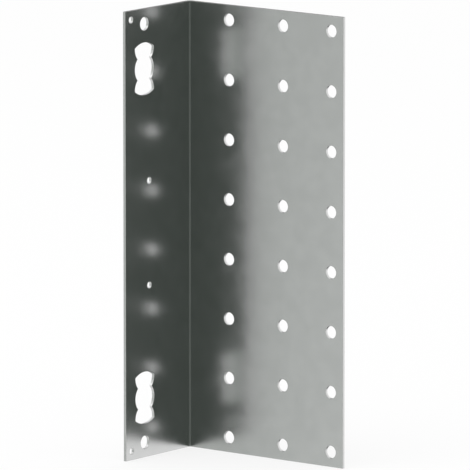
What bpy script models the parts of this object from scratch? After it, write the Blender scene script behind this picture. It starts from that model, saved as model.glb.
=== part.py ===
"""Concealed fixing bracket: one steel sheet, punched flat and folded once into a tall angle.

The narrow leg lies against the wall and the wide leg carries the board. Lengths are in metres and +Z is
up. The origin is the centre of the narrow leg's outer face. The wide leg runs along +X from the heel, and
the narrow leg runs along -Y from it.
"""

import math

import bmesh
import bpy

# The folded sheet, with both legs measured from the heel over their outside
HEIGHT = 0.300
WIDE_LEG = 0.130
NARROW_LEG = 0.070
SHEET = 0.002
BEND_INSIDE_RADIUS = 0.001
EDGE_BREAK = 0.0002

# Screw holes: a grid on the wide leg, and a larger one at each end of the narrow leg
BOARD_HOLE_DIAMETER = 0.0085
END_HOLE_DIAMETER = 0.009
SCREW_HOLE_PITCH = 0.040
SCREW_HOLE_MARGIN = 0.010
FIRST_COLUMN_FROM_HEEL = 0.035

# Lobed slots of the narrow leg: three overlapping circles, with both ends trimmed by one larger circle
LOBE_DIAMETER = 0.020
LOBE_PITCH = 0.014
SLOT_LENGTH = 0.035
SLOT_LINE_FROM_EDGE = 0.020
SLOT_FROM_END_HOLE = 0.030

# Pin holes of the narrow leg: one in each free corner, and a pair about mid-height
PIN_HOLE_DIAMETER = 0.0045
PIN_HOLE_CORNER_MARGIN = 0.006
PIN_PAIR_SPACING = 0.070
PIN_PAIR_FROM_EDGE = 0.025

# How far a punch runs past each face of the sheet
PUNCH_OVERRUN = 0.0005

# Facets of each curve
BEND_STEPS = 8
SCREW_HOLE_STEPS = 24
PIN_HOLE_STEPS = 16
LOBE_MIDDLE_STEPS = 8
LOBE_END_STEPS = 4
SLOT_TIP_STEPS = 8

# Edges turned further than this are cut edges, and take the break
CUT_EDGE_ANGLE = math.radians(60)
# Edges turned further than this are shaded sharp
SHARP_ANGLE = math.radians(30)
# Slack for counting the pitches that fit a length
COUNT_SLACK = 1e-6

STEEL_COLOUR = (0.66, 0.67, 0.66, 1.0)
STEEL_ROUGHNESS = 0.25


def clear_scene():
    """Remove every object, so that the script starts from nothing."""
    for old in list(bpy.data.objects):
        bpy.data.objects.remove(old, do_unlink=True)


def arc(centre, radius, start, end, steps):
    """Points along a circle's arc, both ends included."""
    turn = (end - start) / steps
    return [
        (
            centre[0] + radius * math.cos(start + turn * step),
            centre[1] + radius * math.sin(start + turn * step),
        )
        for step in range(steps + 1)
    ]


def angle_section():
    """The section of the folded sheet seen from above, anticlockwise, with the heel at the origin."""
    outside_radius = BEND_INSIDE_RADIUS + SHEET
    centre = (outside_radius, -outside_radius)
    quarter = math.pi / 2
    inside_bend = arc(centre, BEND_INSIDE_RADIUS, 2 * quarter, quarter, BEND_STEPS)
    outside_bend = arc(centre, outside_radius, quarter, 2 * quarter, BEND_STEPS)
    narrow_edge = [(0.0, -NARROW_LEG), (SHEET, -NARROW_LEG)]
    wide_edge = [(WIDE_LEG, -SHEET), (WIDE_LEG, 0.0)]
    return narrow_edge + inside_bend + wide_edge + outside_bend


def folded_sheet():
    """The folded sheet before its holes, with a small break along every cut edge."""
    mesh = bmesh.new()
    foot = mesh.faces.new([mesh.verts.new((x, y, -HEIGHT / 2)) for x, y in angle_section()])
    raised = bmesh.ops.extrude_face_region(mesh, geom=[foot])["geom"]
    top = [item for item in raised if isinstance(item, bmesh.types.BMVert)]
    bmesh.ops.translate(mesh, verts=top, vec=(0.0, 0.0, HEIGHT))
    bmesh.ops.recalc_face_normals(mesh, faces=mesh.faces)
    cut_edges = [edge for edge in mesh.edges if edge.calc_face_angle() > CUT_EDGE_ANGLE]
    bmesh.ops.bevel(
        mesh,
        geom=cut_edges,
        offset=EDGE_BREAK,
        offset_type="OFFSET",
        segments=1,
        profile=0.5,
        affect="EDGES",
        clamp_overlap=False,
    )
    return mesh


def round_outline(diameter, steps):
    """A function that gives a round hole's outline, grown by the amount it is called with."""

    def grown(growth):
        return arc((0.0, 0.0), diameter / 2 + growth, 0.0, 2 * math.pi, steps)[:-1]

    return grown


def lobed_outline(growth):
    """The lobed slot's outline about its centre, anticlockwise and grown by the given amount."""
    lobe = LOBE_DIAMETER / 2 + growth
    trim = SLOT_LENGTH / 2 + growth
    # Two neighbouring lobes meet at a waist, this far round each of them.
    waist_angle = math.asin(LOBE_PITCH / 2 / lobe)
    # The trimming circle meets the end lobe at this height and half width.
    corner_height = (LOBE_PITCH**2 + trim**2 - lobe**2) / (2 * LOBE_PITCH)
    corner_half_width = math.sqrt(trim**2 - corner_height**2)
    corner_on_lobe = math.atan2(corner_height - LOBE_PITCH, corner_half_width)
    corner_on_trim = math.atan2(corner_height, corner_half_width)
    upper = (0.0, LOBE_PITCH)
    right = arc((0.0, 0.0), lobe, -waist_angle, waist_angle, LOBE_MIDDLE_STEPS)[:-1]
    right += arc(upper, lobe, -waist_angle, corner_on_lobe, LOBE_END_STEPS)[:-1]
    tip = arc((0.0, 0.0), trim, corner_on_trim, math.pi - corner_on_trim, SLOT_TIP_STEPS)[:-1]
    upper_left = arc(
        upper, lobe, math.pi - corner_on_lobe, math.pi + waist_angle, LOBE_END_STEPS
    )[:-1]
    half = right + tip + upper_left
    return half + [(-x, -y) for x, y in half]


def on_wide_leg(along, up, depth):
    """A point of the wide leg: its distance from the heel, its height and its depth from outside."""
    return (along, -depth, up)


def on_narrow_leg(along, up, depth):
    """A point of the narrow leg: its distance from the heel, its height and its depth from outside."""
    return (depth, -along, up)


def add_punch(mesh, outline, along, up, leg):
    """Add one punch to the mesh. It widens at 45 degrees at both faces, so its hole gets the edge break."""
    flare = EDGE_BREAK + PUNCH_OVERRUN
    stations = [
        (-PUNCH_OVERRUN, flare),
        (EDGE_BREAK, 0.0),
        (SHEET - EDGE_BREAK, 0.0),
        (SHEET + PUNCH_OVERRUN, flare),
    ]
    rings = [
        [mesh.verts.new(leg(along + x, up + y, depth)) for x, y in outline(growth)]
        for depth, growth in stations
    ]
    for lower, upper in zip(rings, rings[1:]):
        for index in range(len(lower)):
            after = (index + 1) % len(lower)
            mesh.faces.new([lower[index], lower[after], upper[after], upper[index]])
    mesh.faces.new(rings[0])
    mesh.faces.new(rings[-1])


def row_heights():
    """Heights of the rows of screw holes, centred on mid-height."""
    room = HEIGHT - 2 * SCREW_HOLE_MARGIN
    gaps = math.floor(room / SCREW_HOLE_PITCH + COUNT_SLACK)
    return [(row - gaps / 2) * SCREW_HOLE_PITCH for row in range(gaps + 1)]


def column_distances():
    """Distances of the wide leg's columns from the heel: a pitch apart from the free edge inwards, and one
    more at its own distance from the heel."""
    columns = [FIRST_COLUMN_FROM_HEEL]
    column = WIDE_LEG - SCREW_HOLE_MARGIN
    while column - FIRST_COLUMN_FROM_HEEL > SCREW_HOLE_PITCH / 2:
        columns.append(column)
        column -= SCREW_HOLE_PITCH
    return columns


def punch_screw_holes(mesh):
    """The grid on the wide leg, and the hole at each end of the narrow leg's slot line."""
    rows = row_heights()
    board_hole = round_outline(BOARD_HOLE_DIAMETER, SCREW_HOLE_STEPS)
    for column in column_distances():
        for row in rows:
            add_punch(mesh, board_hole, column, row, on_wide_leg)
    end_hole = round_outline(END_HOLE_DIAMETER, SCREW_HOLE_STEPS)
    for row in (rows[0], rows[-1]):
        add_punch(mesh, end_hole, NARROW_LEG - SLOT_LINE_FROM_EDGE, row, on_narrow_leg)


def punch_lobed_slots(mesh):
    """The two lobed slots, each below or above its end hole."""
    height = row_heights()[-1] - SLOT_FROM_END_HOLE
    for up in (-height, height):
        add_punch(mesh, lobed_outline, NARROW_LEG - SLOT_LINE_FROM_EDGE, up, on_narrow_leg)


def punch_pin_holes(mesh):
    """The small holes of the narrow leg: two in its free corners and two about mid-height."""
    outline = round_outline(PIN_HOLE_DIAMETER, PIN_HOLE_STEPS)
    corner = HEIGHT / 2 - PIN_HOLE_CORNER_MARGIN
    for side in (-1, 1):
        along = NARROW_LEG - PIN_HOLE_CORNER_MARGIN
        add_punch(mesh, outline, along, side * corner, on_narrow_leg)
        along = NARROW_LEG - PIN_PAIR_FROM_EDGE
        add_punch(mesh, outline, along, side * PIN_PAIR_SPACING / 2, on_narrow_leg)


def make_object(name, mesh, heel):
    """Turn the bmesh into a smooth-shaded object of that name, carried by the heel."""
    bmesh.ops.recalc_face_normals(mesh, faces=mesh.faces)
    data = bpy.data.meshes.new(name)
    mesh.to_mesh(data)
    mesh.free()
    data.shade_smooth()
    data.set_sharp_from_angle(angle=SHARP_ANGLE)
    made = bpy.data.objects.new(name, data)
    made.parent = heel
    bpy.context.scene.collection.objects.link(made)
    return made


def cut_with(body, name, punch_holes):
    """Cut the body with the punches that the given function adds."""
    mesh = bmesh.new()
    punch_holes(mesh)
    cutter = make_object(name, mesh, body.parent)
    cutter.hide_render = True
    cutter.display_type = "WIRE"
    boolean = body.modifiers.new(name, "BOOLEAN")
    boolean.operation = "DIFFERENCE"
    boolean.solver = "EXACT"
    boolean.object = cutter


def galvanised_steel():
    """Zinc-coated sheet steel, light grey and satin."""
    material = bpy.data.materials.new("galvanised_steel")
    material.use_nodes = True
    shader = material.node_tree.nodes["Principled BSDF"]
    shader.inputs["Base Color"].default_value = STEEL_COLOUR
    shader.inputs["Metallic"].default_value = 1.0
    shader.inputs["Roughness"].default_value = STEEL_ROUGHNESS
    return material


def build():
    """Make the bracket."""
    clear_scene()
    heel = bpy.data.objects.new("heel", None)
    heel.location = (0.0, NARROW_LEG / 2, 0.0)
    bpy.context.scene.collection.objects.link(heel)
    bracket = make_object("folded_angle", folded_sheet(), heel)
    bracket.data.materials.append(galvanised_steel())
    cut_with(bracket, "screw_hole_punches", punch_screw_holes)
    cut_with(bracket, "lobed_slot_punches", punch_lobed_slots)
    cut_with(bracket, "pin_hole_punches", punch_pin_holes)


build()
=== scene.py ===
"""Looks of the concealed fixing bracket: a punched and folded sheet of zinc-coated steel, standing on a
white floor. Lengths are in metres, +Z is up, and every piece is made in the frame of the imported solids."""

import logging
import math
from collections.abc import Callable
from dataclasses import dataclass
from enum import Enum

import bmesh
import bpy
from mathutils import Matrix, Vector


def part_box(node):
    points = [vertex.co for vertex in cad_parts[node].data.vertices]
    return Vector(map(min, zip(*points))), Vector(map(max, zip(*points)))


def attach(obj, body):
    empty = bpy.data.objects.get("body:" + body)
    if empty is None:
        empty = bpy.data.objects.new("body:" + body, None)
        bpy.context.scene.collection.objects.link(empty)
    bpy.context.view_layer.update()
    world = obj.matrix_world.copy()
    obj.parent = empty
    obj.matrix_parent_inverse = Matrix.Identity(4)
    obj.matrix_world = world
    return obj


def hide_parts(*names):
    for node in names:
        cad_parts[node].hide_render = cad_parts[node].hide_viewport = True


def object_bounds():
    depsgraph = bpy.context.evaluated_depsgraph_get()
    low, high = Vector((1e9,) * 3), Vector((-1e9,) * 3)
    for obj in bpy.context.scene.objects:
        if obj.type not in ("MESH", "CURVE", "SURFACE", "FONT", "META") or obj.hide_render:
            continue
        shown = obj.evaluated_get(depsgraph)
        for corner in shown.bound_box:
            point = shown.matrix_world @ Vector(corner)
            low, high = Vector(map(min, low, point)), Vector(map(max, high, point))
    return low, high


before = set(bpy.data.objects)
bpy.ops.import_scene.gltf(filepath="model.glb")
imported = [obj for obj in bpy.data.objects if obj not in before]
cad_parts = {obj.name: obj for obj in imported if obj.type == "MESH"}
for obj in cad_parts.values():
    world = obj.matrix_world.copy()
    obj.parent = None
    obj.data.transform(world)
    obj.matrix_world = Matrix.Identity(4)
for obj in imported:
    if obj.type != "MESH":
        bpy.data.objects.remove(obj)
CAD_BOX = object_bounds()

LOG = logging.getLogger("bracket")

Span = tuple[float, float]
Point2 = tuple[float, float]
Point3 = tuple[float, float, float]
Colour = tuple[float, float, float]
Outline = Callable[[float], list[Point2]]

NODE = "folded_angle"
BODY = "root"


class Leg(Enum):
    """The two legs of the angle."""

    WIDE = "wide"
    NARROW = "narrow"

    def point(self, along: float, up: float, depth: float) -> Vector:
        """Place a point of this leg, with the heel of the angle at the origin.

        Args:
            along: distance from the heel, over the leg's outer face.
            up: height above mid-height.
            depth: distance from the outer face into the sheet.

        Returns:
            The point, measured from the heel.
        """
        if self is Leg.WIDE:
            return Vector((along, -depth, up))
        return Vector((depth, -along, up))


class Surface(Enum):
    """The two kinds of surface on the sheet. A value is the index of its material."""

    ROLLED = 0
    SHEARED = 1


@dataclass(frozen=True)
class SheetSizes:
    """Sizes of the folded sheet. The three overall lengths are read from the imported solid."""

    height: float
    wide_leg: float
    narrow_leg: float
    heel: Vector
    thickness: float = 0.002
    bend_inside_radius: float = 0.001

    @classmethod
    def from_frame(cls) -> "SheetSizes":
        """Read the overall lengths and the heel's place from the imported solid.

        Returns:
            The sizes.
        """
        low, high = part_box(NODE)
        return cls(
            height=high.z - low.z,
            wide_leg=high.x - low.x,
            narrow_leg=high.y - low.y,
            heel=Vector((low.x, high.y, (low.z + high.z) / 2)),
        )

    @property
    def bend_outside_radius(self) -> float:
        """Radius of the fold over the outside of the sheet."""
        return self.bend_inside_radius + self.thickness


def arc(centre: Point2, radius: float, start: float, end: float, steps: int) -> list[Point2]:
    """Compute the points of a circle's arc.

    Args:
        centre: the circle's centre.
        radius: its radius.
        start: angle of the first point, in radians.
        end: angle of the last point, in radians.
        steps: number of chords.

    Returns:
        The points, with both ends.
    """
    turn = (end - start) / steps
    angles = [start + turn * step for step in range(steps + 1)]
    return [(centre[0] + radius * math.cos(a), centre[1] + radius * math.sin(a)) for a in angles]


def add_band(
    mesh: bmesh.types.BMesh, lower: list[bmesh.types.BMVert], upper: list[bmesh.types.BMVert]
) -> None:
    """Join two closed rings of corners with a band of faces.

    Args:
        mesh: the mesh that holds both rings.
        lower: the first ring.
        upper: the second ring, with as many corners.
    """
    for index, corner in enumerate(lower):
        after = (index + 1) % len(lower)
        mesh.faces.new([corner, lower[after], upper[after], upper[index]])


def new_object(name: str, mesh: bmesh.types.BMesh) -> bpy.types.Object:
    """Turn a bmesh into an object of the scene.

    Args:
        name: the object's name.
        mesh: the bmesh, which is freed.

    Returns:
        The object.
    """
    data = bpy.data.meshes.new(name)
    mesh.to_mesh(data)
    mesh.free()
    made = bpy.data.objects.new(name, data)
    bpy.context.scene.collection.objects.link(made)
    return made


@dataclass(frozen=True)
class RoundHole:
    """The outline of a round punched hole."""

    diameter: float
    steps: int

    def outline(self, growth: float) -> list[Point2]:
        """Give the hole's outline about its centre, grown by the given amount."""
        return arc((0.0, 0.0), self.diameter / 2 + growth, 0.0, 2 * math.pi, self.steps)[:-1]


@dataclass(frozen=True)
class LobedSlot:
    """The outline of a lobed slot: three overlapping circles in a column, with both ends trimmed by a
    larger circle about the middle."""

    lobe_diameter: float = 0.020
    lobe_pitch: float = 0.014
    length: float = 0.035
    middle_steps: int = 24
    end_steps: int = 12
    tip_steps: int = 24

    def outline(self, growth: float) -> list[Point2]:
        """Compute the slot's outline about its centre.

        Args:
            growth: how far the outline lies outside the finished slot.

        Returns:
            The points, anticlockwise from the lower waist on the right.
        """
        lobe = self.lobe_diameter / 2 + growth
        trim = self.length / 2 + growth
        waist = math.asin(self.lobe_pitch / 2 / lobe)
        corner_height = (self.lobe_pitch**2 + trim**2 - lobe**2) / (2 * self.lobe_pitch)
        corner_half_width = math.sqrt(trim**2 - corner_height**2)
        on_lobe = math.atan2(corner_height - self.lobe_pitch, corner_half_width)
        on_trim = math.atan2(corner_height, corner_half_width)
        upper = (0.0, self.lobe_pitch)
        runs = [
            arc((0.0, 0.0), lobe, -waist, waist, self.middle_steps),
            arc(upper, lobe, -waist, on_lobe, self.end_steps),
            arc((0.0, 0.0), trim, on_trim, math.pi - on_trim, self.tip_steps),
            arc(upper, lobe, math.pi - on_lobe, math.pi + waist, self.end_steps),
        ]
        half = [point for run in runs for point in run[:-1]]
        return half + [(-x, -y) for x, y in half]


@dataclass(frozen=True)
class HolePlace:
    """Where a hole's centre is: its leg, its distance from the heel and its height."""

    leg: Leg
    along: float
    up: float


@dataclass(frozen=True)
class Punch:
    """A punch that goes right through the sheet. It enters at the inner face, where the metal rolls in
    with it, and leaves the outer face with a small break."""

    roll_in: float = 0.00012
    exit_break: float = 0.00008
    roll_steps: int = 4
    overrun: float = 0.0005

    def stations(self, thickness: float) -> list[tuple[float, float]]:
        """List the punch's rings from the outer face to the inner one.

        Args:
            thickness: the sheet's thickness.

        Returns:
            One pair for each ring: its depth from the outer face, and how far the outline grows there.
        """
        leaving = [(-self.overrun, self.exit_break + self.overrun), (self.exit_break, 0.0)]
        entering = [
            (thickness - self.roll_in + self.roll_in * math.sin(a), self.roll_in * (1 - math.cos(a)))
            for a in (math.pi / 2 * step / self.roll_steps for step in range(self.roll_steps + 1))
        ]
        return leaving + entering + [(thickness + self.overrun, self.roll_in)]

    def cut(self, mesh: bmesh.types.BMesh, outline: Outline, place: HolePlace, thickness: float) -> None:
        """Add this punch to a mesh of cutters.

        Args:
            mesh: the mesh that the punch is added to.
            outline: the hole's outline for a given growth.
            place: the leg and the centre of the hole.
            thickness: the sheet's thickness.
        """
        rings = [
            [
                mesh.verts.new(place.leg.point(place.along + x, place.up + y, depth))
                for x, y in outline(growth)
            ]
            for depth, growth in self.stations(thickness)
        ]
        for lower, upper in zip(rings, rings[1:]):
            add_band(mesh, lower, upper)
        mesh.faces.new(rings[0])
        mesh.faces.new(rings[-1])


@dataclass(frozen=True)
class HolePattern:
    """Every hole of the bracket, laid out from the sheet's edges."""

    sheet: SheetSizes
    board_hole: RoundHole = RoundHole(diameter=0.0085, steps=64)
    end_hole: RoundHole = RoundHole(diameter=0.009, steps=64)
    pin_hole: RoundHole = RoundHole(diameter=0.0045, steps=40)
    slot: LobedSlot = LobedSlot()
    pitch: float = 0.040
    margin: float = 0.010
    first_column: float = 0.035
    slot_line_from_edge: float = 0.020
    slot_from_end_hole: float = 0.030
    pin_corner_margin: float = 0.006
    pin_pair_spacing: float = 0.070
    pin_pair_from_edge: float = 0.025

    def rows(self) -> list[float]:
        """Give the heights of the rows of screw holes, centred on mid-height."""
        gaps = round((self.sheet.height - 2 * self.margin) / self.pitch)
        return [(row - gaps / 2) * self.pitch for row in range(gaps + 1)]

    def columns(self) -> list[float]:
        """Give the distances of the wide leg's columns from the heel."""
        last = self.sheet.wide_leg - self.margin
        return [self.first_column, last - self.pitch, last]

    def board_places(self) -> list[HolePlace]:
        """Place the grid of the wide leg."""
        return [HolePlace(Leg.WIDE, column, row) for column in self.columns() for row in self.rows()]

    def end_places(self) -> list[HolePlace]:
        """Place the hole at each end of the narrow leg's slot line.

        Returns:
            The lower place and the upper one.
        """
        rows = self.rows()
        line = self.sheet.narrow_leg - self.slot_line_from_edge
        return [HolePlace(Leg.NARROW, line, row) for row in (rows[0], rows[-1])]

    def slot_places(self) -> list[HolePlace]:
        """Place the lobed slots of the narrow leg.

        Returns:
            The lower place and the upper one.
        """
        line = self.sheet.narrow_leg - self.slot_line_from_edge
        up = self.rows()[-1] - self.slot_from_end_hole
        return [HolePlace(Leg.NARROW, line, -up), HolePlace(Leg.NARROW, line, up)]

    def pin_places(self) -> list[HolePlace]:
        """Place the small holes.

        Returns:
            The two in the free corners, then the two about mid-height.
        """
        in_corner = (
            self.sheet.narrow_leg - self.pin_corner_margin,
            self.sheet.height / 2 - self.pin_corner_margin,
        )
        in_pair = (self.sheet.narrow_leg - self.pin_pair_from_edge, self.pin_pair_spacing / 2)
        return [
            HolePlace(Leg.NARROW, along, side * up) for along, up in (in_corner, in_pair) for side in (-1, 1)
        ]


class NodeTree:
    """A short way to write the nodes of a material or a world."""

    def __init__(self, owner: bpy.types.Material | bpy.types.World) -> None:
        """Start the owner's tree, with no nodes in it.

        Args:
            owner: the material or the world.
        """
        owner.use_nodes = True
        self.tree = owner.node_tree
        self.tree.nodes.clear()

    def add(
        self, kind: str, inputs: dict[str | int, object] | None = None, **settings: object
    ) -> bpy.types.Node:
        """Add a node.

        Args:
            kind: the node's type, without the leading ShaderNode.
            inputs: a value or a linked socket for each input.
            settings: the node's own settings.

        Returns:
            The node.
        """
        node = self.tree.nodes.new("ShaderNode" + kind)
        for name, value in settings.items():
            setattr(node, name, value)
        for name, value in (inputs or {}).items():
            if isinstance(value, bpy.types.NodeSocket):
                self.tree.links.new(value, node.inputs[name])
            else:
                node.inputs[name].default_value = value
        return node

    def ramp(self, factor: bpy.types.NodeSocket, stops: list[tuple[float, Colour]]) -> bpy.types.NodeSocket:
        """Add a colour ramp with a smooth change between its stops.

        Args:
            factor: what the ramp reads.
            stops: the position and colour of each stop, in order.

        Returns:
            The ramp's colour.
        """
        node = self.add("ValToRGB", {"Fac": factor})
        node.color_ramp.interpolation = "EASE"
        elements = node.color_ramp.elements
        while len(elements) < len(stops):
            elements.new(0.5)
        for element, (position, colour) in zip(elements, stops):
            element.position = position
            element.color = (*colour, 1.0)
        return node.outputs["Color"]

    def spread(
        self, value: bpy.types.NodeSocket, source: Span, target: Span = (0.0, 1.0)
    ) -> bpy.types.NodeSocket:
        """Map one range of values onto another, and stop at its ends.

        Args:
            value: what is mapped.
            source: the lowest and the highest value that count.
            target: what those two become.

        Returns:
            The mapped value.
        """
        node = self.add(
            "MapRange",
            {
                "Value": value,
                "From Min": source[0],
                "From Max": source[1],
                "To Min": target[0],
                "To Max": target[1],
            },
        )
        return node.outputs["Result"]

    def bare_metal(
        self,
        colour: bpy.types.NodeSocket | tuple[float, ...],
        roughness: bpy.types.NodeSocket,
        relief: bpy.types.NodeSocket,
        depth: float,
    ) -> None:
        """Finish a material's tree as bare metal.

        Args:
            colour: the metal's colour, as a socket or as four constants.
            roughness: its roughness.
            relief: the pattern of its surface.
            depth: how deep that pattern is.
        """
        bump = self.add("Bump", {"Height": relief, "Distance": depth, "Strength": 1.0})
        shader = self.add(
            "BsdfPrincipled",
            {
                "Base Color": colour,
                "Metallic": 1.0,
                "Roughness": roughness,
                "Normal": bump.outputs["Normal"],
            },
        )
        self.add("OutputMaterial", {"Surface": shader.outputs["BSDF"]})


def grey(level: float) -> Colour:
    """Give a neutral colour of that level."""
    return (level, level, level)


@dataclass(frozen=True)
class RolledZinc:
    """The zinc-coated faces of the sheet: satin, with a faint cloud of crystals and fine rolling lines
    that run along the fold."""

    name: str = "rolled_zinc"
    colour: Colour = (0.66, 0.665, 0.662)
    roughness: float = 0.23
    cloud_size: float = 0.012
    cloud_detail: float = 4.0
    cloud_fineness: float = 0.6
    cloud_span: Span = (0.3, 0.7)
    colour_share: float = 0.02
    roughness_share: float = 0.06
    line_width: float = 0.0004
    line_length: float = 0.030
    line_detail: float = 2.0
    line_depth: float = 0.000002

    def material(self) -> bpy.types.Material:
        """Build the material from its nodes.

        Returns:
            The material.
        """
        made = bpy.data.materials.new(self.name)
        nodes = NodeTree(made)
        place = nodes.add("TexCoord").outputs["Object"]
        cloud = nodes.add(
            "TexNoise",
            {
                "Vector": place,
                "Scale": 1 / self.cloud_size,
                "Detail": self.cloud_detail,
                "Roughness": self.cloud_fineness,
            },
        ).outputs["Fac"]
        low, high = self.cloud_span
        colour = nodes.ramp(
            cloud,
            [
                (low, tuple(part * (1 - self.colour_share) for part in self.colour)),
                (high, tuple(part * (1 + self.colour_share) for part in self.colour)),
            ],
        )
        rough = nodes.spread(
            cloud,
            self.cloud_span,
            (self.roughness * (1 - self.roughness_share), self.roughness * (1 + self.roughness_share)),
        )
        across, along = 1 / self.line_width, 1 / self.line_length
        drawn = nodes.add("Mapping", {"Vector": place, "Scale": (across, across, along)})
        lines = nodes.add(
            "TexNoise", {"Vector": drawn.outputs["Vector"], "Scale": 1.0, "Detail": self.line_detail}
        )
        nodes.bare_metal(colour, rough, lines.outputs["Fac"], self.line_depth)
        return made


@dataclass(frozen=True)
class ShearedEdge:
    """The cut edges and hole walls: a fine grain of smooth and torn spots, a little brighter than the
    rolled faces."""

    name: str = "sheared_edge"
    colour: Colour = (0.70, 0.703, 0.70)
    smooth_roughness: float = 0.24
    torn_roughness: float = 0.34
    grain_size: float = 0.0003
    grain_detail: float = 2.0
    grain_span: Span = (0.35, 0.65)
    grain_depth: float = 0.000004

    def material(self) -> bpy.types.Material:
        """Build the material from its nodes.

        Returns:
            The material.
        """
        made = bpy.data.materials.new(self.name)
        nodes = NodeTree(made)
        place = nodes.add("TexCoord").outputs["Object"]
        grain = nodes.add(
            "TexNoise", {"Vector": place, "Scale": 1 / self.grain_size, "Detail": self.grain_detail}
        ).outputs["Fac"]
        rough = nodes.spread(grain, self.grain_span, (self.smooth_roughness, self.torn_roughness))
        nodes.bare_metal((*self.colour, 1.0), rough, grain, self.grain_depth)
        return made


@dataclass
class Bracket:
    """The folded sheet with its holes, as one piece."""

    sheet: SheetSizes
    holes: HolePattern
    punch: Punch = Punch()
    rolled: RolledZinc = RolledZinc()
    sheared: ShearedEdge = ShearedEdge()
    bend_steps: int = 24
    edge_radius: float = 0.00012
    edge_steps: int = 4
    cut_edge_angle: float = math.radians(60)
    sharp_angle: float = math.radians(35)
    flat_face_weight: int = 100

    def section(self) -> list[Point2]:
        """Draw the sheet's section as seen from above.

        Returns:
            The points, anticlockwise, with the heel at the origin.
        """
        sheet = self.sheet
        outside = sheet.bend_outside_radius
        centre = (outside, -outside)
        quarter = math.pi / 2
        narrow_edge = [(0.0, -sheet.narrow_leg), (sheet.thickness, -sheet.narrow_leg)]
        wide_edge = [(sheet.wide_leg, -sheet.thickness), (sheet.wide_leg, 0.0)]
        inside_bend = arc(centre, sheet.bend_inside_radius, 2 * quarter, quarter, self.bend_steps)
        outside_bend = arc(centre, outside, quarter, 2 * quarter, self.bend_steps)
        return narrow_edge + inside_bend + wide_edge + outside_bend

    def blank(self) -> bpy.types.Object:
        """Make the folded sheet before its holes, with every sheared edge rounded.

        Returns:
            The blank.
        """
        mesh = bmesh.new()
        low = -self.sheet.height / 2
        foot = mesh.faces.new([mesh.verts.new((x, y, low)) for x, y in self.section()])
        raised = bmesh.ops.extrude_face_region(mesh, geom=[foot])["geom"]
        top = [item for item in raised if isinstance(item, bmesh.types.BMVert)]
        bmesh.ops.translate(mesh, verts=top, vec=(0.0, 0.0, self.sheet.height))
        bmesh.ops.recalc_face_normals(mesh, faces=mesh.faces)
        bmesh.ops.bevel(
            mesh,
            geom=[edge for edge in mesh.edges if edge.calc_face_angle() > self.cut_edge_angle],
            offset=self.edge_radius,
            offset_type="OFFSET",
            segments=self.edge_steps,
            profile=0.5,
            affect="EDGES",
            clamp_overlap=False,
        )
        return self.in_place("bracket_sheet", mesh)

    def cutter(self, name: str, outline: Outline, places: list[HolePlace]) -> bpy.types.Object:
        """Make one object that holds the punches of one kind of hole.

        Args:
            name: the object's name.
            outline: the hole's outline for a given growth.
            places: where the holes are.

        Returns:
            The cutter.
        """
        mesh = bmesh.new()
        for place in places:
            self.punch.cut(mesh, outline, place, self.sheet.thickness)
        return self.in_place(name, mesh)

    def in_place(self, name: str, mesh: bmesh.types.BMesh) -> bpy.types.Object:
        """Turn a bmesh that is measured from the heel into an object in the frame.

        Args:
            name: the object's name.
            mesh: the bmesh, which is freed.

        Returns:
            The object, with its place in its mesh.
        """
        bmesh.ops.recalc_face_normals(mesh, faces=mesh.faces)
        bmesh.ops.translate(mesh, verts=mesh.verts, vec=self.sheet.heel)
        return new_object(name, mesh)

    def punch_out(self, sheet: bpy.types.Object) -> None:
        """Cut every hole from the sheet, and keep the result as its mesh.

        Args:
            sheet: the folded blank.
        """
        holes = self.holes
        cutters = [
            self.cutter("board_hole_punches", holes.board_hole.outline, holes.board_places()),
            self.cutter("end_hole_punches", holes.end_hole.outline, holes.end_places()),
            self.cutter("lobed_slot_punches", holes.slot.outline, holes.slot_places()),
            self.cutter("pin_hole_punches", holes.pin_hole.outline, holes.pin_places()),
        ]
        for cutter in cutters:
            boolean = sheet.modifiers.new(cutter.name, "BOOLEAN")
            boolean.operation = "DIFFERENCE"
            boolean.solver = "EXACT"
            boolean.object = cutter
        graph = bpy.context.evaluated_depsgraph_get()
        cut = bpy.data.meshes.new_from_object(sheet.evaluated_get(graph), depsgraph=graph)
        sheet.modifiers.clear()
        sheet.data = cut
        for cutter in cutters:
            bpy.data.objects.remove(cutter, do_unlink=True)

    def depth_of(self, point: Vector) -> float:
        """Measure how deep a point lies in the sheet.

        Args:
            point: the point, in the frame.

        Returns:
            Its distance from the outer face, square to the sheet.
        """
        outside = self.sheet.bend_outside_radius
        x, y = point.x - self.sheet.heel.x, self.sheet.heel.y - point.y
        if x < outside and y < outside:
            return outside - math.hypot(outside - x, outside - y)
        return min(x, y)

    def dress(self, sheet: bpy.types.Object) -> None:
        """Give the rolled faces and the sheared walls their finishes, and shade the mesh.

        Args:
            sheet: the finished sheet.
        """
        data = sheet.data
        data.materials.clear()
        data.materials.append(self.rolled.material())
        data.materials.append(self.sheared.material())
        skin = self.punch.roll_in
        for face in data.polygons:
            inside = skin < self.depth_of(face.center) < self.sheet.thickness - skin
            face.material_index = (Surface.SHEARED if inside else Surface.ROLLED).value
        data.shade_smooth()
        data.set_sharp_from_angle(angle=self.sharp_angle)
        weighted = sheet.modifiers.new("even_faces", "WEIGHTED_NORMAL")
        weighted.mode = "FACE_AREA"
        weighted.weight = self.flat_face_weight
        weighted.keep_sharp = True

    def build(self) -> bpy.types.Object:
        """Make the bracket and set it in the frame in place of its plain solid.

        Returns:
            The finished piece.
        """
        sheet = self.blank()
        self.punch_out(sheet)
        self.dress(sheet)
        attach(sheet, BODY)
        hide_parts(NODE)
        return sheet


@dataclass(frozen=True)
class TentStop:
    """One colour of the light tent and the azimuth, in degrees, that it stands at."""

    azimuth: float
    colour: Colour

    @property
    def turn(self) -> float:
        """The stop's place on a ramp that goes once round, from an azimuth of -180 to 180."""
        return self.azimuth / 360 + 0.5


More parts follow.
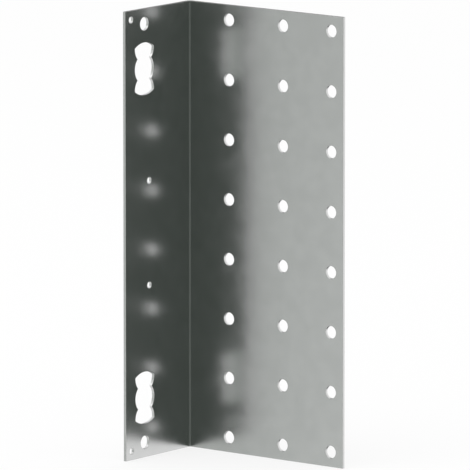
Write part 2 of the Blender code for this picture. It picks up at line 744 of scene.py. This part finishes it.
@dataclass(frozen=True)
class TentLevel:
    """The colours round the light tent at one height above the bracket's middle."""

    height: float
    stops: tuple[TentStop, ...]


@dataclass
class LightTent:
    """A round tent of pale and dark cloth that only the metal sees. Azimuth 0 is in front of the wide
    leg's inner face, and grows towards that leg's free edge."""

    centre: Vector
    radius: float = 5.0
    low: float = -14.0
    high: float = 9.0
    steps: int = 144
    dark: Colour = (0.1045, 0.1205, 0.108)
    pale: Colour = (0.375, 0.405, 0.38)
    white: Colour = grey(1.0)
    ground: Colour = grey(0.8)
    glare: Colour = grey(1.24)
    screen: Colour = grey(0.85)
    wing: Colour = grey(0.7)
    shade: Colour = grey(0.08)

    def ring(self, height: float, front: Colour, side: Colour, behind: Colour) -> TentLevel:
        """Lay out one level of the tent.

        Args:
            height: its height above the bracket's middle.
            front: its colour in front of the wide leg.
            side: its colour to the left of that, in front of the narrow leg's free edge.
            behind: its colour behind the heel.

        Returns:
            The level.
        """
        return TentLevel(
            height,
            (
                TentStop(-180.0, behind),
                TentStop(-132.0, behind),
                TentStop(-100.0, self.wing),
                TentStop(-60.0, side),
                TentStop(-38.5, side),
                TentStop(-33.5, front),
                TentStop(-12.0, front),
                TentStop(9.6, self.dark),
                TentStop(75.0, self.dark),
                TentStop(112.0, self.white),
                TentStop(150.0, self.white),
                TentStop(170.0, behind),
            ),
        )

    def levels(self) -> list[TentLevel]:
        """List the tent's levels.

        Returns:
            The levels, from the ground up.
        """
        return [
            TentLevel(-8.5, (TentStop(-180.0, self.ground), TentStop(180.0, self.ground))),
            self.ring(-5.0, self.glare, self.white, self.shade),
            self.ring(-1.8, self.glare, self.pale, grey(0.25)),
            self.ring(-0.1, grey(0.765), self.pale, grey(0.4)),
            self.ring(0.5, self.screen, self.pale, self.shade),
            self.ring(1.4, self.screen, self.pale, self.shade),
            self.ring(3.2, self.screen, self.white, self.white),
        ]

    def cloth(self) -> bpy.types.Material:
        """Build the cloth's material, which glows with the levels' colours.

        Returns:
            The material.
        """
        cloth = bpy.data.materials.new("tent_cloth")
        nodes = NodeTree(cloth)
        parts = nodes.add("SeparateXYZ", {"Vector": nodes.add("TexCoord").outputs["Object"]})
        front = nodes.add("Math", {0: parts.outputs["Y"], 1: -1.0}, operation="MULTIPLY")
        azimuth = nodes.add(
            "Math", {0: parts.outputs["X"], 1: front.outputs["Value"]}, operation="ARCTAN2"
        )
        turn = nodes.spread(azimuth.outputs["Value"], (-math.pi, math.pi))
        levels = self.levels()
        rings = [nodes.ramp(turn, [(stop.turn, stop.colour) for stop in level.stops]) for level in levels]
        colour = rings[0]
        for below, above, ring in zip(levels, levels[1:], rings[1:]):
            share = nodes.spread(parts.outputs["Z"], (below.height, above.height))
            mix = nodes.add("MixRGB", {"Fac": share, "Color1": colour, "Color2": ring})
            colour = mix.outputs["Color"]
        glow = nodes.add("Emission", {"Color": colour, "Strength": 1.0})
        nodes.add("OutputMaterial", {"Surface": glow.outputs["Emission"]})
        return cloth

    def build(self) -> bpy.types.Object:
        """Stand the tent round the bracket.

        Returns:
            The tent.
        """
        mesh = bmesh.new()
        ring = arc((0.0, 0.0), self.radius, 0.0, 2 * math.pi, self.steps)[:-1]
        lower, upper = [[mesh.verts.new((x, y, z)) for x, y in ring] for z in (self.low, self.high)]
        add_band(mesh, lower, upper)
        tent = new_object("light_tent", mesh)
        tent.data.materials.append(self.cloth())
        tent.location = self.centre
        tent.visible_camera = False
        tent.visible_diffuse = False
        tent.visible_shadow = False
        return tent


@dataclass
class Studio:
    """A white floor and surroundings, and a soft lamp."""

    floor_z: float
    centre: Vector
    white: Colour = grey(1.0)
    floor_size: float = 24.0
    floor_colour: Colour = grey(0.9)
    floor_glow: float = 0.82
    lamp_offset: Point3 = (-0.6, -0.9, 2.2)
    lamp_size: float = 2.0
    lamp_power: float = 10.0

    def world(self) -> None:
        """Surround the scene with an even white."""
        world = bpy.data.worlds.new("white_surroundings")
        bpy.context.scene.world = world
        nodes = NodeTree(world)
        even = nodes.add("Background", {"Color": (*self.white, 1.0), "Strength": 1.0})
        nodes.add("OutputWorld", {"Surface": even.outputs["Background"]})

    def paper(self) -> bpy.types.Material:
        """Build the floor's material: matt white paper that keeps the bracket's soft shadow.

        Returns:
            The material.
        """
        paper = bpy.data.materials.new("white_paper")
        nodes = NodeTree(paper)
        camera_ray = nodes.add("LightPath").outputs["Is Camera Ray"]
        share = nodes.add("Math", {0: camera_ray, 1: self.floor_glow}, operation="MULTIPLY")
        matt = nodes.add("BsdfDiffuse", {"Color": (*self.floor_colour, 1.0)})
        glow = nodes.add("Emission", {"Color": (*self.white, 1.0), "Strength": 1.0})
        mix = nodes.add(
            "MixShader",
            {"Fac": share.outputs["Value"], 1: matt.outputs["BSDF"], 2: glow.outputs["Emission"]},
        )
        nodes.add("OutputMaterial", {"Surface": mix.outputs["Shader"]})
        return paper

    def floor(self) -> bpy.types.Object:
        """Lay the floor.

        Returns:
            The floor.
        """
        mesh = bmesh.new()
        bmesh.ops.create_grid(mesh, x_segments=1, y_segments=1, size=self.floor_size / 2)
        floor = new_object("floor", mesh)
        floor.data.materials.append(self.paper())
        floor.location = (self.centre.x, self.centre.y, self.floor_z)
        floor.visible_glossy = False
        return floor

    def lamp(self) -> bpy.types.Object:
        """Hang a large soft lamp above the open side.

        Returns:
            The lamp.
        """
        light = bpy.data.lights.new("soft_lamp", "AREA")
        light.size = self.lamp_size
        light.energy = self.lamp_power
        lamp = bpy.data.objects.new("soft_lamp", light)
        lamp.location = self.centre + Vector(self.lamp_offset)
        lamp.rotation_euler = (self.centre - lamp.location).to_track_quat("-Z", "Y").to_euler()
        bpy.context.scene.collection.objects.link(lamp)
        return lamp

    def build(self) -> None:
        """Set up the surroundings, the floor and the lamp."""
        self.world()
        self.floor()
        self.lamp()


@dataclass(frozen=True)
class PhotoCamera:
    """The camera at the photograph's viewing angle, with a long lens."""

    azimuth: float = 38.029
    elevation: float = 9.403
    distance: float = 6.1038
    lens: float = 706.39
    aim: Point3 = (0.038574, 0.034973, -0.003637)

    def build(self) -> bpy.types.Object:
        """Make the camera and aim it.

        Returns:
            The camera, which is the scene's own.
        """
        around, above = math.radians(self.azimuth), math.radians(self.elevation)
        back = Vector(
            (math.sin(around) * math.cos(above), -math.cos(around) * math.cos(above), math.sin(above))
        )
        data = bpy.data.cameras.new("camera")
        data.lens = self.lens
        camera = bpy.data.objects.new("camera", data)
        turned = back.to_track_quat("Z", "Y").to_matrix().to_4x4()
        camera.matrix_world = Matrix.Translation(Vector(self.aim) + back * self.distance) @ turned
        bpy.context.scene.collection.objects.link(camera)
        bpy.context.scene.camera = camera
        return camera


def main() -> None:
    """Build the camera, the studio and the bracket, and report each."""
    logging.basicConfig(level=logging.INFO, format="%(message)s")
    bpy.context.scene.view_settings.view_transform = "Standard"
    PhotoCamera().build()
    LOG.info("camera: at the photograph's angle")
    low, high = CAD_BOX
    centre = (low + high) / 2
    Studio(floor_z=low.z, centre=centre).build()
    LightTent(centre=centre).build()
    LOG.info("studio: surroundings, floor, lamp and light tent")
    sheet = SheetSizes.from_frame()
    piece = Bracket(sheet, HolePattern(sheet)).build()
    LOG.info("%s: %d faces", piece.name, len(piece.data.polygons))


if __name__ == "__main__":
    main()
